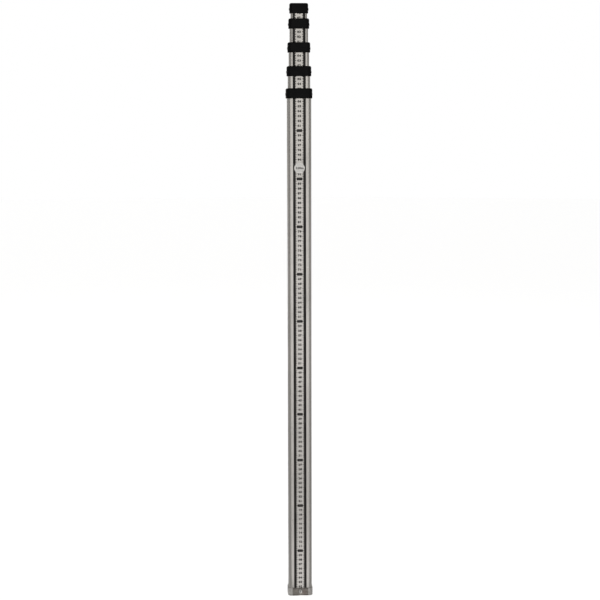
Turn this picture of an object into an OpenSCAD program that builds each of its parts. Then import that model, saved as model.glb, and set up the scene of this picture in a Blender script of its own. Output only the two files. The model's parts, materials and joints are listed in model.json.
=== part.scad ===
// Five-section telescopic leveling staff, closed, standing on its foot.
// Width lies along X, depth along Y and height along Z. The millimetre scale faces -Y.
// The origin is the middle of the foot's underside.

/* [Tubes] */
// Width of the base tube
base_w = 50; // [46:1:60]
// Depth of the base tube, front to back
base_d = 30; // [28:1:40]
// Wall of every tube
tube_wall = 1.2; // [1:0.1:1.6]
// Gap on each side between one tube and the next
tube_gap = 0.8; // [0.6:0.1:1]
// Corner radius of the base tube
corner_r = 6; // [5:0.2:7]
// How much smaller the corner radius gets from tube to tube
corner_step = 0.6; // [0.3:0.1:0.8]
// Depth of the shallow panel that keeps the print from rubbing
panel_depth = 0.3; // [0.1:0.05:0.4]
// Plain margin between that panel and the rounded corner
panel_margin = 0.4; // [0.1:0.1:1]

/* [Heights when closed] */
// Top of the base collar above the ground
base_top = 1087; // [900:0.5:1300]
// Rise from the base collar's top to the top of collar 2
rise_2 = 45.5; // [40:0.5:60]
// Rise from the top of collar 2 to the top of collar 3
rise_3 = 48.5; // [40:0.5:60]
// Rise from the top of collar 3 to the top of collar 4
rise_4 = 48.5; // [40:0.5:60]
// Rise from the top of collar 4 to the top of the cap
rise_5 = 31; // [28:0.5:60]

/* [Travel of each section] */
// How far section 2 draws out of the base tube
travel_2 = 944; // [500:0.5:950]
// How far section 3 draws out of section 2
travel_3 = 942.5; // [500:0.5:950]
// How far section 4 draws out of section 3
travel_4 = 941.5; // [500:0.5:950]
// How far section 5 draws out of section 4
travel_5 = 911.5; // [500:0.5:950]

/* [Collars and cap] */
// Height of each collar and of the cap
collar_h = 21; // [19:0.5:26]
// Wall of the collars and the cap round the tube
collar_wall = 2.2; // [1.8:0.1:3]
// Thickness of the collar's lip and of the cap's top
lip_h = 2.5; // [2:0.1:3.5]
// Gap between a collar's lip and the tube that slides in it
lip_gap = 0.3; // [0.3:0.05:0.5]
// Round on the upper edges
top_round = 3.2; // [1.5:0.1:3.4]
// Round on the lower edges
low_round = 1.4; // [0.5:0.1:1.8]
// Gap round pieces that are pushed together and then fixed
seat_gap = 0.1; // [0.05:0.05:0.15]

/* [Collar screws] */
// Depth of the screws below the collar's top
collar_screw_drop = 12.5; // [9:0.5:15]
// Diameter of the screw heads
collar_head_d = 5; // [4:0.1:5.6]
// How far the heads stand out
collar_head_h = 1.2; // [0.8:0.1:1.6]
// Width of the slots in the heads
collar_slot_w = 0.8; // [0.6:0.1:1.2]
// Diameter of the screw shanks
collar_shank_d = 3; // [2.5:0.1:3.5]

/* [Foot] */
// Height of the shoe's outer wall
shoe_h = 17; // [16:0.5:24]
// Thickness of the shoe's wall
shoe_wall = 1.6; // [1.2:0.1:2.5]
// Thickness of the shoe's floor
shoe_floor = 4; // [3:0.5:6]
// Height of the block cast inside the shoe
block_h = 12; // [11:0.5:16]
// Round on the shoe's edges
shoe_round = 1.1; // [0.6:0.1:1.2]
// Thickness of the rubber buffer on the block
buffer_h = 3; // [2:0.5:5]
// Height of the foot screws above the ground
foot_screw_z = 10; // [9:0.5:11]
// Diameter of the foot screws' heads
foot_head_d = 9; // [7:0.5:10]
// How far these heads stand out
foot_head_h = 2.2; // [1.5:0.1:3]
// Width of the short slots in these heads
foot_slot_w = 1.6; // [0.8:0.1:1.8]
// Length of these slots
foot_slot_l = 5; // [3:0.1:6]
// Diameter of the foot screws' shanks
foot_shank_d = 4; // [3:0.1:5]
// Length of the shanks under the head
foot_shank_l = 10; // [8:0.5:11]

/* [Guide plugs] */
// Thickness of the flange under each inner tube
flange_h = 3; // [2.5:0.5:5]
// Gap between the flange and the tube it slides in
flange_gap = 0.3; // [0.3:0.05:0.4]
// Height of the part of the plug inside its tube
plug_h = 16; // [15:0.5:20]
// Diameter of the pin that holds the plug
plug_pin_d = 3; // [2:0.1:4]
// Length of that pin
plug_pin_l = 9; // [6:0.5:10]

/* [Lock buttons] */
// Height of the button's axis above the bottom of its tube
button_z = 8; // [7:0.5:9]
// Diameter of the button's nose
nose_d = 6; // [5:0.1:6.5]
// Diameter of the shoulder that keeps the button in
shoulder_d = 8; // [7.5:0.1:8.2]
// Length of the shoulder
shoulder_l = 3; // [2:0.5:4]
// Length of the stem that centres the spring
stem_l = 2; // [1:0.5:3]
// Gap between the stem and the inside of the spring
stem_gap = 0.5; // [0.2:0.1:0.8]
// Round at the nose's tip
tip_round = 1.2; // [0.5:0.1:2]
// How far the button springs out once its tube is drawn out
button_pop = 4; // [3.5:0.1:5]
// Gap round the button in its bore, in its hole and at its tip
button_gap = 0.3; // [0.3:0.05:0.35]
// Clearance round the nose in the lock hole
lock_hole_gap = 0.4; // [0.3:0.1:0.8]
// Length of the spring with its tube pushed in
spring_l = 6.7; // [6:0.1:8]
// Outer diameter of the spring
spring_d = 6.4; // [5.8:0.1:7]
// Thickness of the spring's wire
spring_wire = 0.7; // [0.5:0.05:0.75]
// Turns of the spring
spring_turns = 5; // [4:1:5]

/* [Badge] */
// Diameter of the round badge
badge_d = 22; // [16:0.2:24]
// Thickness of the badge
badge_h = 0.8; // [0.5:0.1:1.2]
// Distance from the base collar's top down to its middle
badge_drop = 164.5; // [150:0.5:500]

/* [Hidden] */
$fn = 48;
tiny = 0.01;
last = 4;
rises = [0, rise_2, rise_3, rise_4, rise_5];
travels = [0, travel_2, travel_3, travel_4, travel_5];
badge_z = base_top - badge_drop;

// Sum of the first n + 1 values of a list
function sum_to(list, n) = n < 0 ? 0 : list[n] + sum_to(list, n - 1);

// Sizes and heights of tube i, where 0 is the base tube and 4 the innermost
function tube_w(i) = base_w - 2 * i * (tube_wall + tube_gap);
function tube_d(i) = base_d - 2 * i * (tube_wall + tube_gap);
function tube_r(i) = corner_r - i * corner_step;
function collar_top(i) = base_top + sum_to(rises, i);
function tube_end(i) = collar_top(i) - lip_h;
function tube_foot(i) = i == 0
    ? shoe_floor
    : shoe_floor + block_h + buffer_h + flange_h + (i - 1) * (plug_h + flange_h);
function screw_z(i) = collar_top(i) - collar_screw_drop;
function lock_hole_z(i) = tube_foot(i + 1) + button_z + travels[i + 1];

// Places along X of the button in tube i
function tip_x(i) = tube_w(i) / 2 + tube_gap - button_gap;
function shoulder_x(i) = tube_w(i) / 2 - tube_wall - button_pop;
function spring_x(i) = shoulder_x(i) - shoulder_l - button_gap;
function bore_end_x(i) = spring_x(i) - spring_l;

// A rectangle with true round corners
module rounded_rect(w, d, r) {
    square([w - 2 * r, d], center = true);
    square([w, d - 2 * r], center = true);
    for (sx = [-1, 1], sy = [-1, 1])
        translate([sx * (w / 2 - r), sy * (d / 2 - r)])
            circle(r);
}

// A side view of height h that stands on y = 0, round at its upper and lower corners
module soft_outline(w, h, upper_r, lower_r) {
    translate([-w / 2, lower_r])
        square([w, h - upper_r - lower_r]);
    translate([-w / 2 + upper_r, lower_r])
        square([w - 2 * upper_r, h - lower_r]);
    translate([-w / 2 + lower_r, 0])
        square([w - 2 * lower_r, h - upper_r]);
    for (side = [-1, 1]) {
        translate([side * (w / 2 - upper_r), h - upper_r])
            circle(upper_r);
        translate([side * (w / 2 - lower_r), lower_r])
            circle(lower_r);
    }
}

// A block with a rounded plan and rounded upper and lower edges, standing on z = 0
module soft_block(w, d, h, plan_r, upper_r, lower_r) {
    intersection() {
        linear_extrude(h)
            rounded_rect(w, d, plan_r);
        translate([0, d, 0])
            rotate([90, 0, 0])
                linear_extrude(2 * d)
                    soft_outline(w, h, upper_r, lower_r);
        translate([-w, 0, 0])
            rotate([90, 0, 90])
                linear_extrude(2 * w)
                    soft_outline(d, h, upper_r, lower_r);
    }
}

// A straight bar between two heights with the plan of tube i, grown by g on every side
module tube_bar(i, g, z_low, z_high) {
    translate([0, 0, z_low])
        linear_extrude(z_high - z_low)
            rounded_rect(tube_w(i) + 2 * g, tube_d(i) + 2 * g, tube_r(i) + g);
}

// A cylinder along +X from x_low to x_high, at height z
module rod_x(d, x_low, x_high, z) {
    translate([x_low, 0, z])
        rotate([0, 90, 0])
            cylinder(d = d, h = x_high - x_low);
}

// A domed screw head on z = 0 with a slot along Y, and its shank below.
// The straight edge round the head has a third of the head's height.
module slotted_screw(head_d, head_h, shank_d, shank_l, slot_w, slot_l) {
    edge_h = head_h / 3;
    dome = [for (a = [0 : 22.5 : 90])
        [head_d / 2 * cos(a), edge_h + (head_h - edge_h) * sin(a)]];
    difference() {
        rotate_extrude()
            polygon(concat([[0, 0], [head_d / 2, 0]], dome));
        translate([-slot_w / 2, -slot_l / 2, head_h / 2])
            cube([slot_w, slot_l, head_h]);
    }
    translate([0, 0, -shank_l])
        cylinder(d = shank_d, h = shank_l + tiny);
}

// Tube i with its print panels and its holes
module tube(i) {
    panel_w = tube_w(i) - 2 * (tube_r(i) + panel_margin);
    color("silver")
        difference() {
            tube_bar(i, 0, tube_foot(i), tube_end(i));
            tube_bar(i, -tube_wall, tube_foot(i) - 1, tube_end(i) + 1);
            for (side = [-1, 1])
                translate([-panel_w / 2, side * tube_d(i) / 2 - panel_depth, tube_foot(i) - 1])
                    cube([panel_w, 2 * panel_depth, tube_end(i) - tube_foot(i) + 2]);
            rod_x(collar_shank_d + 2 * seat_gap, -tube_w(i), tube_w(i), screw_z(i));
            if (i == 0)
                translate([0, base_d, foot_screw_z])
                    rotate([90, 0, 0])
                        cylinder(d = foot_shank_d + 2 * seat_gap, h = 2 * base_d);
            if (i > 0) {
                rod_x(nose_d + 2 * button_gap, 0, tube_w(i), tube_foot(i) + button_z);
                rod_x(plug_pin_d + 2 * seat_gap, -tube_w(i), 0, tube_foot(i) + button_z);
            }
            if (i < last)
                rod_x(nose_d + 2 * lock_hole_gap, 0, tube_w(i), lock_hole_z(i));
        }
}

// The outside of the collar or cap on tube i, down to where it ends
module collar_blank(i) {
    grow = seat_gap + collar_wall;
    translate([0, 0, collar_top(i) - collar_h])
        soft_block(
            tube_w(i) + 2 * grow, tube_d(i) + 2 * grow, collar_h,
            tube_r(i) + grow, top_round, low_round
        );
}

// Collar at the mouth of tube i, which guides tube i + 1
module collar(i) {
    color([0.11, 0.11, 0.12])
        difference() {
            collar_blank(i);
            tube_bar(i, seat_gap, 0, tube_end(i));
            tube_bar(i + 1, lip_gap, 0, collar_top(i) + 1);
            rod_x(collar_shank_d + 2 * seat_gap, -base_w, base_w, screw_z(i));
        }
}

// Cap that closes the innermost tube
module top_cap() {
    color([0.11, 0.11, 0.12])
        difference() {
            collar_blank(last);
            tube_bar(last, seat_gap, 0, tube_end(last));
            rod_x(collar_shank_d + 2 * seat_gap, -base_w, base_w, screw_z(last));
        }
}

// The two screws through the narrow sides of the collar or cap on tube i
module collar_screws(i) {
    face_x = tube_w(i) / 2 + seat_gap + collar_wall;
    color([0.2, 0.2, 0.21])
        for (side = [0, 180])
            rotate([0, 0, side])
                translate([face_x, 0, screw_z(i)])
                    rotate([0, 90, 0])
                        slotted_screw(
                            collar_head_d, collar_head_h, collar_shank_d,
                            tube_wall + seat_gap + collar_wall,
                            collar_slot_w, collar_head_d + 1
                        );
}

// Cast shoe: a cup round the base tube with a block inside it
module foot_shoe() {
    grow = seat_gap + shoe_wall;
    color([0.66, 0.65, 0.63])
        difference() {
            union() {
                difference() {
                    soft_block(
                        base_w + 2 * grow, base_d + 2 * grow, shoe_h,
                        corner_r + grow, shoe_round, shoe_round
                    );
                    tube_bar(0, seat_gap, shoe_floor, shoe_h + 1);
                }
                tube_bar(0, -tube_wall - seat_gap, shoe_floor - tiny, shoe_floor + block_h);
            }
            translate([0, base_d, foot_screw_z])
                rotate([90, 0, 0])
                    cylinder(d = foot_shank_d + 2 * seat_gap, h = 2 * base_d);
        }
}

// Front and back screws that hold the shoe and the base tube together
module foot_screws() {
    face_y = base_d / 2 + seat_gap + shoe_wall;
    color([0.8, 0.79, 0.76])
        for (side = [0, 180])
            rotate([0, 0, side])
                translate([0, -face_y, foot_screw_z])
                    rotate([90, 0, 0])
                        slotted_screw(
                            foot_head_d, foot_head_h, foot_shank_d, foot_shank_l,
                            foot_slot_w, foot_slot_l
                        );
}

// Rubber pad that section 2 lands on
module foot_buffer() {
    color([0.13, 0.13, 0.13])
        tube_bar(
            0, -tube_wall - flange_gap,
            shoe_floor + block_h, shoe_floor + block_h + buffer_h
        );
}

// Plug in the lower end of tube i, with the flange that slides in tube i - 1
module guide_plug(i) {
    foot = tube_foot(i);
    color([0.9, 0.89, 0.85])
        difference() {
            union() {
                tube_bar(i - 1, -tube_wall - flange_gap, foot - flange_h, foot);
                tube_bar(i, -tube_wall - seat_gap, foot - tiny, foot + plug_h);
            }
            rod_x(shoulder_d + 2 * button_gap, bore_end_x(i), tube_w(i), foot + button_z);
            rod_x(
                plug_pin_d + 2 * seat_gap,
                -tube_w(i), -tube_w(i) / 2 + plug_pin_l + seat_gap, foot + button_z
            );
        }
}

// Pin through the tube's wall into the plug, on the side away from the button
module plug_pin(i) {
    color([0.72, 0.72, 0.72])
        rod_x(
            plug_pin_d, -tube_w(i) / 2, -tube_w(i) / 2 + plug_pin_l,
            tube_foot(i) + button_z
        );
}

// Lock button of section i, pushed in by the tube round it
module lock_button(i) {
    nose_l = tip_x(i) - shoulder_x(i);
    stem_d = spring_d - 2 * spring_wire - 2 * stem_gap;
    tip = [for (a = [0 : 30 : 90])
        [nose_d / 2 - tip_round * (1 - cos(a)), nose_l - tip_round * (1 - sin(a))]];
    color([0.78, 0.62, 0.3])
        translate([shoulder_x(i), 0, tube_foot(i) + button_z])
            rotate([0, 90, 0])
                rotate_extrude()
                    polygon(concat([
                        [0, -shoulder_l - stem_l], [stem_d / 2, -shoulder_l - stem_l],
                        [stem_d / 2, -shoulder_l], [shoulder_d / 2, -shoulder_l],
                        [shoulder_d / 2, 0], [nose_d / 2, 0]
                    ], tip, [[0, nose_l]]));
}

// Coil spring: one wire wound round X from x = 0 to x = spring_l
coil_rings = 8;
wire_sides = 6;
coil_r = (spring_d - spring_wire) / 2;
coil_pitch = (spring_l - spring_wire) / spring_turns;

function coil_centre(n) = [
    spring_wire / 2 + coil_pitch * n / coil_rings,
    coil_r * cos(360 * n / coil_rings),
    coil_r * sin(360 * n / coil_rings)
];

// Ring n of the wire, square to the wire's own direction
function coil_ring(n) =
    let (
        a = 360 * n / coil_rings,
        out = [0, cos(a), sin(a)],
        along = [coil_pitch / (2 * PI * coil_r), -sin(a), cos(a)],
        across = cross(along / norm(along), out)
    )
    [for (s = [0 : wire_sides - 1])
        coil_centre(n) + spring_wire / 2
            * (cos(360 * s / wire_sides) * out + sin(360 * s / wire_sides) * across)];

coil_count = spring_turns * coil_rings;
spring_gap = min([for (n = [0 : coil_count - coil_rings])
    norm(coil_centre(n + coil_rings) - coil_centre(n))]) - spring_wire;
echo(least_gap_between_turns = spring_gap);

module lock_spring(i) {
    rings = [for (n = [0 : coil_count]) each coil_ring(n)];
    sides = [for (n = [0 : coil_count - 1], s = [0 : wire_sides - 1])
        let (
            a = n * wire_sides + s,
            b = n * wire_sides + (s + 1) % wire_sides
        )
        each [[a, b, b + wire_sides], [a, b + wire_sides, a + wire_sides]]];
    first_end = [for (s = [1 : wire_sides - 2]) [0, s + 1, s]];
    start = coil_count * wire_sides;
    last_end = [for (s = [1 : wire_sides - 2]) [start, start + s, start + s + 1]];
    color([0.55, 0.56, 0.58])
        translate([bore_end_x(i), 0, tube_foot(i) + button_z])
            polyhedron(points = rings, faces = concat(sides, first_end, last_end));
}

// Round badge in the base tube's panel
module badge() {
    color([0.86, 0.86, 0.84])
        translate([0, panel_depth - base_d / 2, badge_z])
            rotate([90, 0, 0])
                cylinder(d = badge_d, h = badge_h);
}

tube(0);  // base_tube
tube(1);  // tube_2
tube(2);  // tube_3
tube(3);  // tube_4
tube(4);  // tube_5
collar(0);  // base_collar
collar(1);  // collar_2
collar(2);  // collar_3
collar(3);  // collar_4
top_cap();
collar_screws(0);  // base_collar_screws
collar_screws(1);  // collar_2_screws
collar_screws(2);  // collar_3_screws
collar_screws(3);  // collar_4_screws
collar_screws(4);  // top_cap_screws
foot_shoe();
foot_screws();
foot_buffer();
badge();
guide_plug(1);  // guide_plug_2
guide_plug(2);  // guide_plug_3
guide_plug(3);  // guide_plug_4
guide_plug(4);  // guide_plug_5
plug_pin(1);  // plug_pin_2
plug_pin(2);  // plug_pin_3
plug_pin(3);  // plug_pin_4
plug_pin(4);  // plug_pin_5
lock_button(1);  // lock_button_2
lock_button(2);  // lock_button_3
lock_button(3);  // lock_button_4
lock_button(4);  // lock_button_5
lock_spring(1);  // lock_spring_2
lock_spring(2);  // lock_spring_3
lock_spring(3);  // lock_spring_4
lock_spring(4);  // lock_spring_5
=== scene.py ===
import json
import math
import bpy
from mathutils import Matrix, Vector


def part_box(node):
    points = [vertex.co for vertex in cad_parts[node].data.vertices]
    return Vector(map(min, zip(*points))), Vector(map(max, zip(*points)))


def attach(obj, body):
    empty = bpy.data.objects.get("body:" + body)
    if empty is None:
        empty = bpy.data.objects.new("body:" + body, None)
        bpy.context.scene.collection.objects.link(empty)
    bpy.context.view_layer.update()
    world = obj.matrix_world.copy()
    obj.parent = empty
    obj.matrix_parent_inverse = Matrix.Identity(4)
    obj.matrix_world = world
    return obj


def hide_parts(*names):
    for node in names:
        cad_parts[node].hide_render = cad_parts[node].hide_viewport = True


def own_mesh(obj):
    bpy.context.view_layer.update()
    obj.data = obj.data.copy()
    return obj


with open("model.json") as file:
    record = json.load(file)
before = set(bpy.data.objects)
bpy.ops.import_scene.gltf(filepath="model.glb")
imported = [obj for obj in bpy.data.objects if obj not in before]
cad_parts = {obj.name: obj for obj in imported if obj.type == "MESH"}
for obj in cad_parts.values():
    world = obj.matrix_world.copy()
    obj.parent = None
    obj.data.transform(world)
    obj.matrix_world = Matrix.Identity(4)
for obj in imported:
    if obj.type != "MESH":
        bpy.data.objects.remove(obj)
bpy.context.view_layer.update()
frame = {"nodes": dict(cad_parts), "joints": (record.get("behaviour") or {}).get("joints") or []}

from types import SimpleNamespace

import bmesh
import bpy
from bpy.props import FloatProperty, FloatVectorProperty, IntProperty, PointerProperty
from bpy.types import Operator, Panel, PropertyGroup
from mathutils import Matrix, Vector

bl_info = {
    "name": "Leveling staff",
    "version": (1, 0, 0),
    "blender": (4, 5, 0),
    "location": "3D View > Sidebar > Staff",
    "description": "Dresses a five-section leveling staff with its finishes, scales and studio",
    "category": "Object",
}

MM = 0.001
SMOOTH_BELOW = math.radians(38)
FLAT_BELOW = math.radians(0.4)
WELD = 1e-6
BRIDGE_LIFT = 0.02 * MM
HOLE_EDGE = 0.3 * MM
PRINT_MARGIN = 2 * MM
FIGURES = "0123456789"
SENSOR_WIDTH = 36
ROUND_STEPS = 4
DOME_STEPS = 12
SCREW_STEPS = 48
BADGE_STEPS = 64
SPRING_STEPS = 24
WIRE_SIDES = 8
FLOOR_STEPS = 96

# The figures of Blender's own font, as shares of its size
FIGURE_HEIGHT = 0.69
FIGURE_MIDDLE = 0.34
FIGURE_WELD = 1e-5


# Sizes and colours


def metres(name, default, description):
    return FloatProperty(name=name, description=description, default=default, unit="LENGTH")


def degrees(name, default, description):
    default = math.radians(default)
    return FloatProperty(name=name, description=description, default=default, subtype="ANGLE")


def rgb(name, default, description):
    return FloatVectorProperty(
        name=name, description=description, default=default, subtype="COLOR", size=3
    )


class StaffBodyProps(PropertyGroup):
    corner_radius: metres("Corner radius", 0.006, "Corner radius of the base tube")
    corner_step: metres(
        "Corner step", 0.0006, "How much smaller the corner radius gets from tube to tube"
    )
    panel_depth: metres("Panel depth", 0.0003, "Depth of the shallow panel that the print lies in")
    panel_margin: metres(
        "Panel margin", 0.0004, "Plain margin between the panel and the rounded corner"
    )
    collar_wall: metres("Collar wall", 0.0022, "Wall of the collars and the cap")
    seat_gap: metres("Seat gap", 0.0001, "Gap round pieces that are pushed onto a tube")
    lip_height: metres("Lip height", 0.0025, "Thickness of a collar's lip and of the cap's top")
    lip_gap: metres("Lip gap", 0.0003, "Gap between a collar's lip and the tube that slides in it")
    top_round: metres("Top round", 0.0032, "Round on the upper edges of the collars and the cap")
    low_round: metres("Low round", 0.0014, "Round on their lower edges")
    shoe_floor: metres("Shoe floor", 0.004, "Thickness of the shoe's floor")
    shoe_block: metres("Shoe block", 0.012, "Height of the block cast inside the shoe")
    tube_wall: metres("Tube wall", 0.0012, "Wall of every tube")
    shoe_wall: metres("Shoe wall", 0.0016, "Wall of the shoe round the base tube")
    shoe_panel: metres(
        "Shoe panel", 0.034, "Width of the rough panels on the shoe's front and back"
    )
    shoe_round: metres("Shoe round", 0.0011, "Round on the shoe's edges")
    arc_steps: IntProperty(
        name="Arc steps", description="Steps round each corner in plan", default=10, min=4, max=24
    )


class StaffPrintProps(PropertyGroup):
    ink: metres("Ink thickness", 0.00004, "How far the print stands out of its panel")
    stripe_middle: metres(
        "Stripe place", 0.01085, "Distance of each long stripe's middle from the staff's middle"
    )
    stripe_width: metres("Stripe width", 0.0053, "Width of the long stripes")
    line: metres("Line thickness", 0.00022, "Thickness of the division lines")
    cm_thickness: metres(
        "Longer line thickness", 0.0013, "Thickness of the lines at each half centimetre"
    )
    mm_line: metres("Millimetre line", 0.0010, "Length of the millimetre lines")
    half_line: metres("Half-centimetre line", 0.0018, "Length of the lines at each half centimetre")
    cm_line: metres("Centimetre line", 0.0024, "Length of the lines at each centimetre")
    number_height: metres("Number height", 0.005, "Height of the centimetre numbers")
    number_pitch: metres("Number pitch", 0.0039, "Distance between the two digits of a number")
    box_width: metres(
        "Decimetre box width", 0.0114, "Width of the dark box behind each decimetre number"
    )
    box_height: metres("Decimetre box height", 0.0058, "Height of that box")
    box_number: metres("Decimetre number height", 0.0025, "Height of the pale number in that box")
    block_number: metres(
        "Block face number height", 0.033, "Height of the decimetre numbers on the block face"
    )


class StaffFinishProps(PropertyGroup):
    aluminium: rgb("Aluminium", (0.605, 0.584, 0.547), "Colour of the anodised tubes")
    plastic: rgb("Collar plastic", (0.0038, 0.0036, 0.0039), "Colour of the collars and the cap")
    casting: rgb("Casting", (0.50, 0.485, 0.46), "Colour of the cast shoe")
    ink_black: rgb("Black ink", (0.0085, 0.0068, 0.0052), "Colour of the black print")
    ink_red: rgb("Red ink", (0.48, 0.02, 0.012), "Colour of the red print on the block face")
    enamel: rgb("White enamel", (0.86, 0.85, 0.82), "Colour of the block face's ground")


class StaffStageProps(PropertyGroup):
    camera_distance: metres(
        "Camera distance", 3.0, "Level distance of the camera from the staff's front"
    )
    camera_height: metres("Camera height", 1.0462, "Height of the camera above the floor")
    camera_pitch: degrees("Camera pitch", 7.607, "How far the camera looks down")
    camera_side: degrees("Camera side", 3.5, "How far the camera stands round to the left")
    camera_roll: degrees("Camera roll", -0.126, "Tilt of the camera about its own view")
    camera_turn: degrees(
        "Camera turn", 0.026, "How far the camera looks past the staff's middle, to the right"
    )
    focal_length: FloatProperty(
        name="Focal length", description="In millimetres, on a 36 mm sensor", default=86.2
    )
    floor_size: metres("Floor size", 14.0, "Radius of the round floor")


# The sections


def staff_sections():
    """The five sections from the ground up, each with its names, its box and its total draw."""
    draw = {j["child"]: j["range_m"][1] for j in frame["joints"]}
    tubes = ("base_tube", "tube_2", "tube_3", "tube_4", "tube_5")
    mouths = ("base_collar", "collar_2", "collar_3", "collar_4", "top_cap")
    rows, drawn = [], 0.0
    for n, (tube, mouth) in enumerate(zip(tubes, mouths)):
        body = "base" if n == 0 else f"section_{n + 1}"
        drawn += draw.get(body, 0.0)
        low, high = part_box(tube)
        mouth_low, mouth_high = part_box(mouth)
        rows.append(
            SimpleNamespace(
                step=n,
                tube=tube,
                mouth=mouth,
                body=body,
                drawn=drawn,
                width=high.x - low.x,
                depth=high.y - low.y,
                low=low.z,
                high=high.z,
                mouth_low=mouth_low.z,
                mouth_high=mouth_high.z,
            )
        )
    return rows


SECTIONS = staff_sections()


def corner_radius(section):
    body = bpy.context.scene.staff_body
    return body.corner_radius - section.step * body.corner_step


def around(section, gap):
    """The (width, depth, radius) of a loop round a tube, at a gap from it."""
    return section.width + 2 * gap, section.depth + 2 * gap, corner_radius(section) + gap


def wider(loop, edge):
    """A (width, depth, radius) loop with an edge added all round."""
    width, depth, radius = loop
    return width + 2 * edge, depth + 2 * edge, radius + edge


def panel_width(section):
    body = bpy.context.scene.staff_body
    return section.width - 2 * (corner_radius(section) + body.panel_margin)


# Mesh helpers


def all_of(bm):
    return [*bm.verts, *bm.edges, *bm.faces]


def add_object(name, data):
    made = bpy.data.objects.new(name, data)
    bpy.context.scene.collection.objects.link(made)
    return made


def mesh_of(bm, name):
    """The mesh of a bmesh, which is freed."""
    mesh = bpy.data.meshes.new(name)
    bm.to_mesh(mesh)
    bm.free()
    return mesh


def add_ring(bm, width, depth, radius, z, steps):
    """A level loop with round corners, as its edges."""
    place = Matrix.Translation((0, 0, z)) @ Matrix.Diagonal((width, depth, 1, 1))
    made = bmesh.ops.create_grid(bm, x_segments=1, y_segments=1, size=0.5, matrix=place)
    if radius > 0:
        arc = {"offset": radius, "offset_type": "OFFSET", "segments": steps, "profile": 0.5}
        bmesh.ops.bevel(bm, geom=made["verts"], **arc, affect="VERTICES", material=-1)
    face = next(iter(bm.faces))
    edges = list(face.edges)
    bmesh.ops.delete(bm, geom=[face], context="FACES_ONLY")
    return edges


def skin_rings(rings, steps, closed):
    """A new mesh through a list of (width, depth, radius, z) loops.
    A closed one joins its last loop to its first, and an open one gets a face on each end loop.
    Every second loop is raised a little while they are bridged, since the bridge between two
    loops in one plane can twist. A closed list has an even number of loops."""
    bm = bmesh.new()
    loops = [add_ring(bm, *ring, steps) for ring in rings]
    raised = list({v for loop in loops[1::2] for edge in loop for v in edge.verts})
    bmesh.ops.translate(bm, verts=raised, vec=(0, 0, BRIDGE_LIFT))
    pairs = list(zip(loops, loops[1:]))
    if closed:
        pairs.append((loops[-1], loops[0]))
    for a, b in pairs:
        bmesh.ops.bridge_loops(bm, edges=a + b)
    bmesh.ops.translate(bm, verts=raised, vec=(0, 0, -BRIDGE_LIFT))
    if not closed:
        for loop in (loops[0], loops[-1]):
            bmesh.ops.contextual_create(bm, geom=loop)
    bmesh.ops.recalc_face_normals(bm, faces=bm.faces)
    return bm


def rounded_edge(width, depth, radius, z, size, upper):
    """The loops of a quarter round at the upper or lower end of a block, from below upwards."""
    loops = []
    for k in range(ROUND_STEPS + 1):
        a = math.pi / 2 * k / ROUND_STEPS
        if upper:
            inset, height = size * (1 - math.cos(a)), z - size * (1 - math.sin(a))
        else:
            inset, height = size * (1 - math.sin(a)), z + size * (1 - math.cos(a))
        loops.append((width - 2 * inset, depth - 2 * inset, radius - inset, height))
    return loops


def lathe(outline, centre, axis, start, steps):
    """A closed mesh from (distance out, distance along) points that turns about an axis."""
    bm = bmesh.new()
    centre, axis, start = Vector(centre), Vector(axis), Vector(start)
    points = [bm.verts.new(centre + start * out + axis * along) for out, along in outline]
    edges = [bm.edges.new(pair) for pair in zip(points, points[1:])]
    turn = {"cent": centre, "axis": axis, "angle": 2 * math.pi, "steps": steps}
    bmesh.ops.spin(bm, geom=points + edges, **turn, use_merge=True, use_duplicate=False)
    bmesh.ops.remove_doubles(bm, verts=bm.verts, dist=WELD)
    bmesh.ops.recalc_face_normals(bm, faces=bm.faces)
    return bm


def slotted_screw(head, height, shank, length, slot_width, slot_length):
    """A closed mesh of a domed screw. Its head stands on z = 0, and its slot, which is as deep as
    half the head, lies along Y and has the second material, which the foot screws use for the
    slot's painted shade."""
    edge = height / 3
    outline = [(0, -length), (shank / 2, -length), (shank / 2, 0), (head / 2, 0)]
    for k in range(DOME_STEPS + 1):
        a = math.pi / 2 * k / DOME_STEPS
        outline.append((head / 2 * math.cos(a), edge + (height - edge) * math.sin(a)))
    bm = lathe(outline, (0, 0, 0), (0, 0, 1), (1, 0, 0), SCREW_STEPS)
    half = Vector((slot_width / 2, slot_length / 2, 0))
    for x, y in ((-1, 0), (1, 0), (0, -1), (0, 1)):
        out = Vector((x, y, 0))
        cut = {"plane_co": out * half, "plane_no": out, "dist": WELD / 10}
        bmesh.ops.bisect_plane(bm, geom=all_of(bm), **cut)

    def over_slot(face, margin):
        middle = face.calc_center_median()
        return (
            middle.z > height / 2 - margin
            and abs(middle.x) < half.x + margin
            and abs(middle.y) < half.y + margin
        )

    cover = [f for f in bm.faces if over_slot(f, 0)]
    for part in bmesh.ops.extrude_face_region(bm, geom=cover)["geom"]:
        if isinstance(part, bmesh.types.BMVert):
            part.co.z = height / 2
    bmesh.ops.delete(bm, geom=cover, context="FACES")
    # The faces in the slot get the second material, which is near-black painted shade on the foot
    # screws.
    for face in bm.faces:
        face.material_index = 1 if over_slot(face, WELD) else 0
    bmesh.ops.recalc_face_normals(bm, faces=bm.faces)
    return bm


def finish_piece(name, bm, body, finishes, replaced=(), smooth=True):
    """Makes the piece from its bmesh, gives it its finishes and fastens it to its body."""
    mesh = mesh_of(bm, name)
    for finish in finishes:
        mesh.materials.append(bpy.data.materials[finish])
    piece = add_object(name, mesh)
    if smooth:
        mesh.shade_smooth()
        mesh.set_sharp_from_angle(angle=SMOOTH_BELOW)
        even = piece.modifiers.new("Even shading", "WEIGHTED_NORMAL")
        even.keep_sharp = True
    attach(piece, body)
    if replaced:
        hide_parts(*replaced)
    return piece


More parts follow.
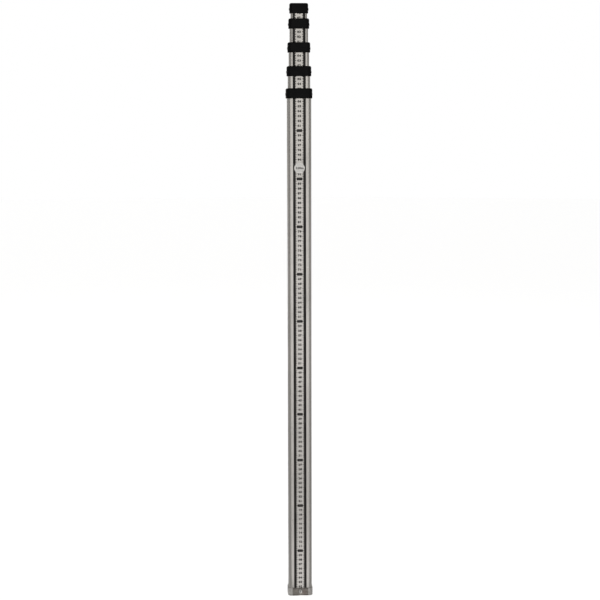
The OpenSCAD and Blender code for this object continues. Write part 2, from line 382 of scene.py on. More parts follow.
def machined_copy(name, body, finish):
    """A merged and smoothly shaded copy of a CAD node, which stands for it."""
    bm = bmesh.new()
    bm.from_mesh(frame["nodes"][name].data)
    bmesh.ops.remove_doubles(bm, verts=bm.verts, dist=WELD)
    bmesh.ops.dissolve_limit(bm, angle_limit=FLAT_BELOW, verts=bm.verts, edges=bm.edges)
    finish_piece(f"{name}_skin", bm, body, (finish,), (name,))


def glyph_templates(characters, height, thickness, weight=0.0, wide=1.0, steps=2):
    """Closed meshes of single characters, each standing up, centred and facing -Y.
    Weight is what thickens the strokes, as a share of the font's size."""
    curve = bpy.data.curves.new("glyph", "FONT")
    curve.resolution_u = steps
    curve.extrude = 0.5
    curve.offset = weight
    holder = add_object("glyph", curve)
    made = {}
    for character in characters:
        curve.body = character
        bpy.context.view_layer.update()
        shown = holder.evaluated_get(bpy.context.evaluated_depsgraph_get())
        flat = bpy.data.meshes.new_from_object(shown)
        bm = bmesh.new()
        bm.from_mesh(flat)
        bpy.data.meshes.remove(flat)
        bmesh.ops.remove_doubles(bm, verts=bm.verts, dist=FIGURE_WELD)
        middle = (min(v.co.x for v in bm.verts) + max(v.co.x for v in bm.verts)) / 2
        scale = height / (FIGURE_HEIGHT + 2 * weight)
        bmesh.ops.translate(bm, verts=bm.verts, vec=(-middle, -FIGURE_MIDDLE, 0))
        bmesh.ops.scale(bm, verts=bm.verts, vec=(scale * wide, scale, thickness))
        upright = Matrix.Rotation(math.pi / 2, 3, "X")
        bmesh.ops.rotate(bm, verts=bm.verts, cent=(0, 0, 0), matrix=upright)
        made[character] = mesh_of(bm, f"glyph_{ord(character)}")
    bpy.data.objects.remove(holder)
    bpy.data.curves.remove(curve)
    return made


def box_template():
    bm = bmesh.new()
    bmesh.ops.create_cube(bm, size=1)
    return mesh_of(bm, "box")


def stamp(bm, template, place, material=0):
    """Adds a template's shape to a bmesh at a place, in one of the piece's materials."""
    shape = template.copy()
    shape.transform(place)
    shape.polygons.foreach_set("material_index", [material] * len(shape.polygons))
    bm.from_mesh(shape, face_normals=False, vertex_normals=False)
    bpy.data.meshes.remove(shape)


def stamp_box(bm, template, low, high, material=0):
    low, high = Vector(low), Vector(high)
    place = Matrix.Translation((low + high) / 2) @ Matrix.Diagonal((*(high - low), 1))
    stamp(bm, template, place, material)


def drop_templates(*templates):
    for template in templates:
        bpy.data.meshes.remove(template)


# Material helpers


def new_group(name, inputs, outputs):
    """A shader group with its inputs, given as their default values, and its outputs."""
    tree = bpy.data.node_groups.new(name, "ShaderNodeTree")
    for label, value in inputs.items():
        kind = "NodeSocketFloat" if isinstance(value, float) else "NodeSocketVector"
        tree.interface.new_socket(label, in_out="INPUT", socket_type=kind).default_value = value
    for label in outputs:
        tree.interface.new_socket(label, in_out="OUTPUT", socket_type="NodeSocketFloat")
    return tree, tree.nodes.new("NodeGroupInput").outputs, tree.nodes.new("NodeGroupOutput")


def node(tree, kind, settings=None, **inputs):
    """Adds a node, sets what is given on it and links or sets its inputs."""
    made = tree.nodes.new(kind)
    for key, value in (settings or {}).items():
        setattr(made, key, value)
    for key, value in inputs.items():
        socket = made.inputs[int(key[1:])] if key[0] == "_" else made.inputs[key]
        if isinstance(value, bpy.types.NodeSocket):
            tree.links.new(value, socket)
        else:
            socket.default_value = value
    return made


def link(tree, value, target, label):
    tree.links.new(value, target.inputs[label])


def maths(tree, operation, *values):
    inputs = {f"_{n}": value for n, value in enumerate(values)}
    return node(tree, "ShaderNodeMath", {"operation": operation}, **inputs).outputs[0]


def vector_maths(tree, operation, *values):
    """The vector or, where the operation measures, the number that it gives."""
    inputs = {f"_{n}": value for n, value in enumerate(values)}
    made = node(tree, "ShaderNodeVectorMath", {"operation": operation}, **inputs)
    measures = operation in ("DOT_PRODUCT", "DISTANCE", "LENGTH")
    return made.outputs["Value" if measures else "Vector"]


def coordinates(tree, kind="Object"):
    return node(tree, "ShaderNodeTexCoord").outputs[kind]


def place_pattern(tree, stretch, turn=(0, 0, 0)):
    """Object coordinates turned and stretched."""
    settings = {"Vector": coordinates(tree), "Rotation": turn, "Scale": stretch}
    return node(tree, "ShaderNodeMapping", **settings).outputs["Vector"]


def noise(tree, vector, scale, detail=3.0, rough=0.55):
    settings = {"Vector": vector, "Scale": scale, "Detail": detail, "Roughness": rough}
    return node(tree, "ShaderNodeTexNoise", **settings).outputs["Fac"]


def remap(tree, value, low, high, to_low=0.0, to_high=1.0, curve="LINEAR"):
    """Turns the range from low to high into the one from to_low to to_high, and ends there."""
    ends = {"From Min": low, "From Max": high, "To Min": to_low, "To Max": to_high}
    settings = {"interpolation_type": curve, "clamp": True}
    return node(tree, "ShaderNodeMapRange", settings, Value=value, **ends).outputs["Result"]


def mix_colour(tree, factor, *ends):
    """A mix of two colours, each a plain one or a node's."""
    ends = [e if isinstance(e, bpy.types.NodeSocket) else (*e[:3], 1) for e in ends]
    made = node(tree, "ShaderNodeMix", {"data_type": "RGBA"}, _0=factor, _6=ends[0], _7=ends[1])
    return made.outputs[2]


def shade(colour, factor):
    return tuple(c * factor for c in colour)


def blend(first, second, share):
    return tuple((1 - share) * a + share * b for a, b in zip(first, second))


def drawn_lines_group():
    """Long fine lines along Z, as on an extruded or drawn metal."""
    tree, start, end = new_group("Drawn lines", {"Pitch": 2600.0}, ["Height", "Streak"])
    fine = noise(tree, place_pattern(tree, (1, 1, 0.006)), start["Pitch"], 2.0)
    broad = noise(tree, place_pattern(tree, (1, 1, 0.012)), 420.0, 2.0)
    link(tree, fine, end, "Height")
    link(tree, remap(tree, broad, 0.35, 0.65), end, "Streak")


def handling_group():
    """Smudges from hands, short crossing scratches and fine specks."""
    sizes = {"Smudge size": 26.0, "Scratch size": 160.0}
    tree, start, end = new_group("Handling marks", sizes, ["Smudge", "Scratch", "Speck"])
    tall = place_pattern(tree, (1, 1, 0.6))
    smudge = noise(tree, tall, start["Smudge size"], 5.0, 0.62)
    link(tree, remap(tree, smudge, 0.42, 0.72), end, "Smudge")
    bent = place_pattern(tree, (1, 0.05, 1), (0.4, 0.9, 0.3))
    scratch = noise(tree, bent, start["Scratch size"], 3.0, 0.7)
    link(tree, remap(tree, scratch, 0.66, 0.72), end, "Scratch")
    speck = noise(tree, place_pattern(tree, (1, 1, 1)), 1300.0, 2.0)
    link(tree, remap(tree, speck, 0.66, 0.76), end, "Speck")


def grain_group():
    """Fine grain of a moulded or cast surface."""
    tree, start, end = new_group("Grain", {"Size": 1500.0}, ["Height", "Mottle"])
    plain, size = place_pattern(tree, (1, 1, 1)), start["Size"]
    cells = node(tree, "ShaderNodeTexVoronoi", Vector=plain, Scale=size).outputs["Distance"]
    rough = noise(tree, plain, size, 3.0, 0.6)
    link(tree, maths(tree, "MULTIPLY", cells, rough), end, "Height")
    mottle = noise(tree, plain, 210.0, 4.0, 0.65)
    link(tree, remap(tree, mottle, 0.34, 0.66), end, "Mottle")


def front_light_group():
    """Level of the studio light by direction: bright straight in front and behind, dim beside."""
    inputs = {"Vector": (0, -1, 0), "Front": 1.02, "Beside": 0.45}
    tree, start, end = new_group("Front light", inputs, ["Level"])
    turn, core, rim = math.radians(6), math.radians(8), math.radians(20)
    flat = vector_maths(tree, "MULTIPLY", start["Vector"], (1, 1, 0))
    way = vector_maths(tree, "NORMALIZE", flat)
    along = vector_maths(tree, "DOT_PRODUCT", way, (math.sin(turn), -math.cos(turn), 0))
    front = maths(tree, "ABSOLUTE", along)
    dip = remap(tree, front, 0.2, 0.75, 1.0, 0.4)
    beside = maths(tree, "MULTIPLY", start["Beside"], dip)
    bright, ends = start["Front"], (math.cos(rim), math.cos(core))
    level = remap(tree, front, *ends, beside, bright, "SMOOTHSTEP")
    link(tree, level, end, "Level")


def use_group(tree, name, **values):
    settings = {"node_tree": bpy.data.node_groups[name]}
    inputs = {key.replace("_", " "): value for key, value in values.items()}
    return node(tree, "ShaderNodeGroup", settings, **inputs).outputs


def new_material(name, metallic, **sockets):
    """The tree and shader of a material that has only the Principled shader, with plain values
    on the sockets that are given."""
    material = bpy.data.materials.new(name)
    material.use_nodes = True
    tree = material.node_tree
    tree.nodes.clear()
    shader = tree.nodes.new("ShaderNodeBsdfPrincipled")
    end = tree.nodes.new("ShaderNodeOutputMaterial")
    tree.links.new(shader.outputs["BSDF"], end.inputs["Surface"])
    shader.inputs["Metallic"].default_value = metallic
    for label, value in sockets.items():
        shader.inputs[label.replace("_", " ")].default_value = value
    return tree, shader


def bump(tree, shader, height, strength, distance):
    settings = {"Height": height, "Strength": strength, "Distance": distance}
    link(tree, node(tree, "ShaderNodeBump", **settings).outputs["Normal"], shader, "Normal")


def sum_of(tree, first, second, share):
    """first plus share times second."""
    return maths(tree, "MULTIPLY_ADD", second, share, first)


# Finishes


def anodised_aluminium():
    """Clear anodised tube: drawn lines along it, hand marks and a few scratches."""
    colour = bpy.context.scene.staff_finish.aluminium
    tree, shader = new_material("Anodised aluminium", 0.85)
    lines = use_group(tree, "Drawn lines", Pitch=2600.0)
    marks = use_group(tree, "Handling marks", Smudge_size=22.0, Scratch_size=170.0)
    base = mix_colour(tree, lines["Streak"], shade(colour, 0.96), shade(colour, 1.03))
    worn = mix_colour(tree, marks["Smudge"], base, shade(colour, 0.9))
    scratched = mix_colour(tree, marks["Scratch"], worn, shade(colour, 1.2))
    link(tree, scratched, shader, "Base Color")
    rough = remap(tree, marks["Smudge"], 0.0, 1.0, 0.21, 0.29)
    link(tree, sum_of(tree, rough, lines["Streak"], 0.04), shader, "Roughness")
    bump(tree, shader, sum_of(tree, lines["Height"], marks["Scratch"], -0.3), 0.12, 0.00004)


def grained(name, metallic, colour, sizes, shades, wear, rough, relief, level=0.5, stain=None):
    """A material whose colour is mottled between two shades and then worn.
    The sizes are those of the grain, the smudges and the scratches. The wear is a list of
    (mark, colour). Rough is a mark, or the mottle, and the roughness where it is least and
    where it is most. The relief is its strength, its depth and the part that scratches have
    in it. A stain is a brownish patch round a place, given as (x, z)."""
    tree, shader = new_material(name, metallic, Specular_IOR_Level=level)
    grain = use_group(tree, "Grain", Size=sizes[0])
    marks = use_group(tree, "Handling marks", Smudge_size=sizes[1], Scratch_size=sizes[2])
    shown = mix_colour(tree, grain["Mottle"], shade(colour, shades[0]), shade(colour, shades[1]))
    for mark, worn in wear:
        shown = mix_colour(tree, marks[mark], shown, worn)
    if stain:
        flat = vector_maths(tree, "MULTIPLY", coordinates(tree), (1, 0, 1))
        away = vector_maths(tree, "DISTANCE", flat, (stain[0], 0, stain[1]))
        patch = remap(tree, away, 0.002, 0.008, 0.45, 0.0)
        shown = mix_colour(tree, patch, shown, (0.27, 0.19, 0.17))
    link(tree, shown, shader, "Base Color")
    mark, least, most = rough
    dull = grain["Mottle"] if mark == "Mottle" else marks[mark]
    link(tree, remap(tree, dull, 0.0, 1.0, least, most), shader, "Roughness")
    strength, depth, share = relief
    height = sum_of(tree, grain["Height"], marks["Scratch"], share) if share else grain["Height"]
    bump(tree, shader, height, strength, depth)


def moulded_plastic():
    """Black collar plastic: fine grain, scuffed a little paler where it is handled."""
    colour = bpy.context.scene.staff_finish.plastic
    sizes, wear = (2300.0, 60.0, 240.0), [("Scratch", shade(colour, 4.5))]
    rough, relief = ("Smudge", 0.44, 0.58), (0.35, 0.00012, -0.2)
    grained("Moulded plastic", 0.0, colour, sizes, (0.85, 1.2), wear, rough, relief, 0.1)


def turned_metal(name, colour, least, most, specks=0.6):
    """Small turned or plated metal parts, with specks where the plating has dulled."""
    sizes, wear = (2600.0, 180.0, 420.0), [("Speck", shade(colour, specks))]
    rough, relief = ("Smudge", least, most), (0.15, 0.00006, -0.3)
    grained(name, 1.0, colour, sizes, (0.88, 1.06), wear, rough, relief)


def soft_plastic(name, colour, least, most, level):
    """Plain moulded or rubber parts inside the staff, with dust in their grain."""
    sizes, wear = (1500.0, 90.0, 260.0), [("Speck", tuple(0.6 * c + 0.12 for c in colour))]
    rough, relief = ("Smudge", least, most), (0.25, 0.00012, 0)
    grained(name, 0.0, colour, sizes, (0.9, 1.06), wear, rough, relief, level)


def ink(name, colour, under):
    """Silk-screened print, thin enough that the ground shows in worn specks and scratches."""
    wear = [("Smudge", blend(colour, under, 0.07)), ("Scratch", blend(colour, under, 0.4))]
    sizes, rough = (2000.0, 30.0, 210.0), ("Smudge", 0.36, 0.55)
    relief = (0.1, 0.00005, 0)
    grained(name, 0.0, colour, sizes, (0.85, 1.25), wear, rough, relief, 0.22)


def casting(name, factor, tint, least, most, strength, stain=None):
    """Cast aluminium of the shoe, dull and mottled, with grey dirt in its grain. The factor scales
    the colour, and the shoe's copies use it for painted light and shade.
    """
    finish = bpy.context.scene.staff_finish
    colour = tuple(c * factor * t for c, t in zip(finish.casting, tint))
    wear = [("Smudge", shade(colour, 0.7)), ("Scratch", shade(colour, 1.3))]
    sizes, rough = (900.0, 55.0, 200.0), ("Mottle", least, most)
    relief = (strength, 0.0003, 0)
    grained(name, 0.3, colour, sizes, (0.78, 1.15), wear, rough, relief, stain=stain)


def make_finishes():
    finish = bpy.context.scene.staff_finish
    drawn_lines_group()
    handling_group()
    grain_group()
    anodised_aluminium()
    moulded_plastic()
    # The shoe's body is made paler, partly a painted reflection on its round sides, and its panels
    # darker, partly painted shade.
    casting("Cast aluminium", 1.75, (1, 1, 1), 0.52, 0.38, 0.3)
    casting("Cast front", 0.85, (1.0, 0.95, 0.91), 0.75, 0.55, 0.9, (0.0085, 0.0075))
    # Very dark casting for the sunk panels' upper and lower slopes: a painted shadow line.
    casting("Cast edge", 0.25, (1.0, 0.95, 0.9), 0.8, 0.6, 0.9)
    turned_metal("Zinc plated", (0.66, 0.65, 0.62), 0.28, 0.42)
    turned_metal("Blackened steel", (0.05, 0.05, 0.052), 0.35, 0.5, 1.8)
    # Near-black painted shade for the foot screws' slots, where there is only the slot's shadow.
    soft_plastic("Slot dirt", (0.012, 0.011, 0.01), 0.7, 0.9, 0.1)
    turned_metal("Turned brass", (0.72, 0.52, 0.22), 0.22, 0.38)
    turned_metal("Spring steel", (0.46, 0.46, 0.48), 0.25, 0.4)
    soft_plastic("Natural nylon", (0.80, 0.77, 0.69), 0.4, 0.55, 0.45)
    soft_plastic("Rubber", (0.03, 0.03, 0.03), 0.65, 0.85, 0.3)
    turned_metal("Badge face", (0.66, 0.65, 0.62), 0.3, 0.42, 0.85)
    # The rim's paler colour is a painted highlight on the raised rim; its lower roughness is its
    # smoother polish.
    turned_metal("Badge rim", (0.78, 0.77, 0.74), 0.22, 0.34)
    ink("Black ink", finish.ink_black, finish.aluminium)
    ink("Pale ink", (0.2, 0.195, 0.185), finish.aluminium)
    ink("White enamel", finish.enamel, finish.aluminium)
    ink("Black on enamel", finish.ink_black, finish.enamel)
    ink("Red on enamel", finish.ink_red, finish.enamel)


def printed_stretch(section):
    """The heights between which a tube is printed. The lowest is printed down to the shoe."""
    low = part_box("foot_shoe")[1].z if section.step == 0 else section.low + PRINT_MARGIN
    return low, section.high - PRINT_MARGIN


# Pieces


def mould_mouth(section, lip=()):
    """The black moulding on a section's mouth. A lip, as its loops, leaves the mouth open."""
    body = bpy.context.scene.staff_body
    low, high = section.mouth_low, section.mouth_high
    outer = around(section, body.seat_gap + body.collar_wall)
    seat = around(section, body.seat_gap)
    inside = [
        (*seat, high - body.lip_height),
        (*seat, low + HOLE_EDGE),
        (*wider(seat, HOLE_EDGE), low),
    ]
    outside = rounded_edge(*outer, low, body.low_round, False)
    outside += rounded_edge(*outer, high, body.top_round, True)
    rings = [*outside, *lip, *inside] if lip else [*inside, *outside]
    bm = skin_rings(rings, body.arc_steps, bool(lip))
    black, name = ("Moulded plastic",), section.mouth
    finish_piece(f"{name}_moulding", bm, section.body, black, (name,))


class STAFF_OT_finishes(Operator):
    """Makes the finishes of the staff's materials"""

    bl_idname = "staff.finishes"
    bl_label = "Finishes"

    def execute(self, context):
        make_finishes()
        return {"FINISHED"}


class STAFF_OT_tubes(Operator):
    """Dresses the five extruded tubes"""

    bl_idname = "staff.tubes"
    bl_label = "Tubes"

    def execute(self, context):
        for section in SECTIONS:
            machined_copy(section.tube, section.body, "Anodised aluminium")
        return {"FINISHED"}


class STAFF_OT_collars(Operator):
    """Moulds the four collars at the mouths of the outer tubes"""

    bl_idname = "staff.collars"
    bl_label = "Collars"

    def execute(self, context):
        body = context.scene.staff_body
        for section, inner in zip(SECTIONS, SECTIONS[1:]):
            hole, high = around(inner, body.lip_gap), section.mouth_high
            lip = [
                (*wider(hole, HOLE_EDGE), high),
                (*hole, high - HOLE_EDGE),
                (*hole, high - body.lip_height),
            ]
            mould_mouth(section, lip)
        return {"FINISHED"}


class STAFF_OT_top_cap(Operator):
    """Moulds the cap that closes the innermost tube"""

    bl_idname = "staff.top_cap"
    bl_label = "Top cap"

    def execute(self, context):
        mould_mouth(SECTIONS[-1])
        return {"FINISHED"}


class STAFF_OT_screws(Operator):
    """Dresses the screws of the collars, the cap and the shoe"""

    bl_idname = "staff.screws"
    bl_label = "Screws"

    shank: metres("Shank", 0.004, "Thickness of a foot screw")
    shank_length: metres("Shank length", 0.01, "Length of its shank")
    slot_width: metres("Slot width", 0.0016, "Width of its slot")
    slot_length: metres("Slot length", 0.005, "Length of its slot")

    def execute(self, context):
        for section in SECTIONS:
            screws = f"{section.mouth}_screws"
            machined_copy(screws, section.body, "Blackened steel")
        self.turn_foot_screws()
        return {"FINISHED"}

    def turn_foot_screws(self):
        """The screws in the shoe's front and back, as one piece like the node they stand for."""
        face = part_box("foot_shoe")[1].y
        low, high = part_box("foot_screws")
        shank, slot = (self.shank, self.shank_length), (self.slot_width, self.slot_length)
        bm = slotted_screw(high.x - low.x, high.y - face, *shank, *slot)
        place = Matrix.Translation((0, -face, (low.z + high.z) / 2))
        place = place @ Matrix.Rotation(math.pi / 2, 4, "X")
        bmesh.ops.transform(bm, matrix=place, verts=bm.verts)
        twin = bmesh.ops.duplicate(bm, geom=all_of(bm))["geom"]
        twin = [v for v in twin if isinstance(v, bmesh.types.BMVert)]
        behind = Matrix.Rotation(math.pi, 3, "Z")
        bmesh.ops.rotate(bm, verts=twin, cent=(0, 0, 0), matrix=behind)
        # The second finish paints the slot's shade near-black.
        metal = ("Zinc plated", "Slot dirt")
        finish_piece("foot_screws_turned", bm, "base", metal, ("foot_screws",))


class STAFF_OT_shoe(Operator):
    """Casts the shoe with its rough front and back panels, and dresses its rubber buffer"""

    bl_idname = "staff.shoe"
    bl_label = "Shoe"

    sink: metres("Sink", 0.0004, "How deep the rough panels are sunk")
    slope: metres("Slope", 0.0009, "Width of the slope round a rough panel")

    def execute(self, context):
        body = context.scene.staff_body
        section = SECTIONS[0]
        low, high = (corner.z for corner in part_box("foot_shoe"))
        outer = around(section, body.seat_gap + body.shoe_wall)
        seat = around(section, body.seat_gap)
        block = around(section, -(body.tube_wall + body.seat_gap))
        rings = rounded_edge(*outer, low, body.shoe_round, False)
        rings += rounded_edge(*outer, high, body.shoe_round, True)
        rings += [
            (*seat, high),
            (*seat, body.shoe_floor),
            (*block, body.shoe_floor),
            (*block, body.shoe_floor + body.shoe_block),
        ]
        bm = skin_rings(rings, body.arc_steps, False)
        self.sink_panels(bm, body.shoe_panel / 2, seat[1] / 2)
        # A paler body, partly painted reflection; darker panels, partly painted shade; very dark
        # slopes, a painted shadow line.
        metal = ("Cast aluminium", "Cast front", "Cast edge")
        finish_piece("foot_shoe_casting", bm, "base", metal, ("foot_shoe",))
        machined_copy("foot_buffer", "base", "Rubber")
        return {"FINISHED"}

    def sink_panels(self, bm, reach, seat_depth):
        """Gives the middle of the shoe's outside the rough finish, whose darker colour is partly
        the rough panel's own tone and partly painted shade, and sinks its two flat faces. The
        middle reaches to both sides of x = 0, and the seat is what lies inside the shoe."""
        for side in (-1, 1):
            cut = {"plane_co": (side * reach, 0, 0), "plane_no": (1, 0, 0), "dist": WELD}
            bmesh.ops.bisect_plane(bm, geom=all_of(bm), **cut)
        outside = []
        for face in bm.faces:
            middle = face.calc_center_median()
            if abs(middle.x) >= reach or abs(middle.y) <= seat_depth - MM / 10:
                continue
            # Outward faces of the middle, the top rim's included, get the darker casting, which is
            # partly painted shade.
            if middle.z > MM / 10 and face.normal.y * middle.y > -WELD:
                face.material_index = 1
                outside.append(face)
        wide = [f for f in outside if abs(f.normal.y) > 0.99]
        wide = sorted(wide, key=lambda f: -f.calc_area())[:2]
        walls = bmesh.ops.inset_individual(
            bm, faces=wide, thickness=self.slope, depth=-self.sink, use_even_offset=True
        )["faces"]
        # Slopes facing up or down get the third finish, a painted shadow line; the side slopes keep
        # the panel's finish.
        for face in walls:
            face.material_index = 2 if abs(face.normal.z) > 0.1 else 1


class STAFF_OT_inner_parts(Operator):
    """Dresses the guide plugs, their pins and the lock buttons, and winds the lock springs"""

    bl_idname = "staff.inner_parts"
    bl_label = "Plugs, pins, buttons and springs"

    turns: IntProperty(name="Turns", description="Turns of each spring", default=5)
    wire: metres("Wire", 0.0007, "Thickness of the wire")

    def execute(self, context):
        for n in (2, 3, 4, 5):
            body = f"section_{n}"
            machined_copy(f"guide_plug_{n}", body, "Natural nylon")
            machined_copy(f"plug_pin_{n}", body, "Zinc plated")
            machined_copy(f"lock_button_{n}", f"button_{n}", "Turned brass")
            self.wind_spring(n, body)
        return {"FINISHED"}

    def wind_spring(self, n, body):
        """A coil along X, between the ends of its CAD node."""
        low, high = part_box(f"lock_spring_{n}")
        centre = (low + high) / 2
        radius = (high.z - low.z - self.wire) / 2
        pitch = (high.x - low.x - self.wire) / self.turns
        bm = bmesh.new()
        start = Vector((low.x + self.wire / 2, centre.y + radius, centre.z))
        lead = math.atan2(pitch, 2 * math.pi * radius)
        across = Matrix.Translation(start) @ Matrix.Rotation(lead, 4, "Y")
        bmesh.ops.create_circle(
            bm, cap_ends=False, radius=self.wire / 2, segments=WIRE_SIDES, matrix=across
        )
        turn = {"angle": 2 * math.pi * self.turns, "steps": SPRING_STEPS * self.turns}
        turn |= {"cent": centre, "axis": (1, 0, 0), "dvec": (pitch / SPRING_STEPS, 0, 0)}
        bmesh.ops.spin(bm, geom=all_of(bm), **turn, use_duplicate=False)
        bmesh.ops.holes_fill(bm, edges=[e for e in bm.edges if e.is_boundary], sides=0)
        bmesh.ops.recalc_face_normals(bm, faces=bm.faces)
        name, steel = f"lock_spring_{n}", ("Spring steel",)
        spring = finish_piece(f"{name}_coil", bm, body, steel, (name,))
        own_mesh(spring)


class STAFF_OT_millimetre_face(Operator):
    """Prints the millimetre scale on the front of every section"""

    bl_idname = "staff.millimetre_face"
    bl_label = "Millimetre face"

    def execute(self, context):
        for section in SECTIONS:
            self.print_section(section)
        return {"FINISHED"}

    def print_section(self, section):
        """The stripes, the lines beside them, and the numbers of centimetres and decimetres."""
        scale = bpy.context.scene.staff_print
        body = bpy.context.scene.staff_body
        ground = body.panel_depth - section.depth / 2
        front, back = ground - scale.ink, ground + scale.ink / 4
        low, high = printed_stretch(section)
        bm, box = bmesh.new(), box_template()
        wide = scale.stripe_width / 2
        for middle in (-scale.stripe_middle, scale.stripe_middle):
            stamp_box(bm, box, (middle - wide, front, low), (middle + wide, back, high))
        inner = scale.stripe_middle - wide
        drawn = section.drawn / MM
        lengths = {0: scale.cm_line, 5: scale.half_line}
        for mark in range(math.ceil(low / MM + drawn), math.floor(high / MM + drawn) + 1):
            z = (mark - drawn) * MM
            length = lengths.get(mark % 10, scale.mm_line)
            tall = (scale.line if mark % 5 else scale.cm_thickness) / 2
            for side in (-1, 1):
                x = sorted((side * inner, side * (inner - length)))
                stamp_box(bm, box, (x[0], front, z - tall), (x[1], back, z + tall))
        thickness = 1.2 * scale.ink
        bold = {"weight": 0.064, "wide": 1.08}
        numbers = glyph_templates(FIGURES, scale.number_height, thickness, **bold)
        boxed = glyph_templates(FIGURES + ".", scale.box_number, thickness)
        half = scale.number_height / 2
        first = math.ceil(((low + half) / MM + drawn) / 10)
        last = math.floor(((high - half) / MM + drawn) / 10)
        for centimetre in range(first, last + 1):
            z = (centimetre * 10 - drawn) * MM
            if centimetre % 10:
                for character, side in zip(f"{centimetre % 100:02d}", (-1, 1)):
                    place = (side * scale.number_pitch / 2, ground - scale.ink / 2, z)
                    stamp(bm, numbers[character], Matrix.Translation(place))
                continue
            raised, wide, tall = front - scale.ink / 2, scale.box_width / 2, scale.box_height / 2
            stamp_box(bm, box, (-wide, raised, z - tall), (wide, back, z + tall))
            text, pitch = f"{centimetre // 100}.{centimetre // 10 % 10}", 0.6 * scale.box_number
            for character, step in zip(text, (-1, 0, 1)):
                place = (step * pitch, raised, z)
                stamp(bm, boxed[character], Matrix.Translation(place), 1)
        drop_templates(box, *numbers.values(), *boxed.values())
        inks = ("Black ink", "Pale ink")
        name = f"{section.tube}_millimetre_print"
        finish_piece(name, bm, section.body, inks, smooth=False)


class STAFF_OT_block_face(Operator):
    """Prints the block graduation on the back of every section"""

    bl_idname = "staff.block_face"
    bl_label = "Block face"

    margin: metres("Margin", 0.0003, "Plain margin between the enamel and its panel")
    least_block: metres("Least block", 0.0002, "Height of the lowest block printed")
    number_place: metres(
        "Number place", 0.025, "Height of a number's middle above the start of its decimetre"
    )
    clearance: metres(
        "Clearance", 0.02, "Room that a number's middle needs to the ends of the print"
    )

    def execute(self, context):
        for section in SECTIONS:
            self.print_section(section)
        return {"FINISHED"}

    def print_section(self, section):
        """Enamel with an E of five blocks to each half decimetre, black and red by the metre."""
        scale = bpy.context.scene.staff_print
        body = bpy.context.scene.staff_body
        half = panel_width(section) / 2 - self.margin
        floor = section.depth / 2 - body.panel_depth
        enamel, top = floor + scale.ink, floor + 2 * scale.ink
        low, high = printed_stretch(section)
        drawn = section.drawn
        bm, box = bmesh.new(), box_template()
        stamp_box(bm, box, (-half, floor - scale.ink / 4, low), (half, enamel, high))
        narrow = {"weight": 0.045, "wide": 0.47 * half / scale.block_number, "steps": 3}
        digits = glyph_templates(FIGURES, scale.block_number, 1.2 * scale.ink, **narrow)
        first, last = math.floor((low + drawn) * 100), math.ceil((high + drawn) * 100)
        for centimetre in range(first, last):
            start = centimetre / 100 - drawn
            z_low, z_high = max(low, start), min(high, (centimetre + 1) / 100 - drawn)
            if z_high - z_low < self.least_block:
                continue
            colour = 1 + centimetre // 100 % 2
            side = 1 if centimetre % 10 < 5 else -1
            spine = 0.62 * half
            x = sorted((side * half, side * spine if centimetre % 5 % 2 else 0.0))
            bottom = enamel - scale.ink / 4
            stamp_box(bm, box, (x[0], bottom, z_low), (x[1], top, z_high), colour)
            middle = start + self.number_place
            if centimetre % 10 == 0 and low + self.clearance < middle < high - self.clearance:
                self.number(bm, digits, centimetre // 10, middle, half, enamel, colour)
        drop_templates(box, *digits.values())
        inks = ("White enamel", "Black on enamel", "Red on enamel")
        name = f"{section.tube}_block_print"
        finish_piece(name, bm, section.body, inks, smooth=False)

    def number(self, bm, digits, value, z, half, ground, colour):
        """The decimetre number beside the lower figure of its decimetre."""
        turned = Matrix.Rotation(math.pi, 4, "Z")
        for character, share in zip(f"{value:02d}", (-0.25, -0.75)):
            place = Matrix.Translation((share * half, ground, z)) @ turned
            stamp(bm, digits[character], place, colour)


class STAFF_OT_badge(Operator):
    """Makes the round badge with its raised rim and plain length marking"""

    bl_idname = "staff.badge"
    bl_label = "Badge"

    rim: metres("Rim", 0.0013, "Width of the raised rim")
    letter_height: metres("Letter height", 0.0046, "Height of the length marking")

    def execute(self, context):
        low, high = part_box("badge")
        centre = Vector((0, high.y, (low.z + high.z) / 2))
        radius, thick = (high.x - low.x) / 2, high.y - low.y
        bevel, small, sunk = 0.15 * MM, 0.1 * MM, 0.25 * MM
        field, field_radius = thick - sunk, radius - self.rim - sunk
        outline = [
            (0, 0),
            (radius - bevel, 0),
            (radius, bevel),
            (radius, thick - 2 * bevel),
            (radius - small, thick - small),
            (radius - 2 * bevel, thick),
            (radius - self.rim, thick),
            (field_radius, field),
            (0, field),
        ]
        bm = lathe(outline, centre, (0, -1, 0), (1, 0, 0), BADGE_STEPS)
        for face in bm.faces:
            middle = face.calc_center_median()
            out = math.hypot(middle.x, middle.z - centre.z)
            face.material_index = 1 if out < field_radius and face.normal.y < -0.9 else 0
        # The rim's finish is paler than the face's, which is a painted highlight.
        metal = ("Badge rim", "Badge face")
        finish_piece("badge_disc", bm, "base", metal, ("badge",))
        bm = bmesh.new()
        bold = {"weight": 0.045, "steps": 3}
        letters = glyph_templates("05.m", self.letter_height, 0.12 * MM, **bold)
        for character, x in zip("5.00m", (-6.2, -3.8, -1.4, 2.1, 6.3)):
            place = Matrix.Translation((x * MM, high.y - field, centre.z))
            stamp(bm, letters[character], place)
        drop_templates(*letters.values())
        finish_piece("badge_marking", bm, "base", ("Black ink",), smooth=False)
        return {"FINISHED"}


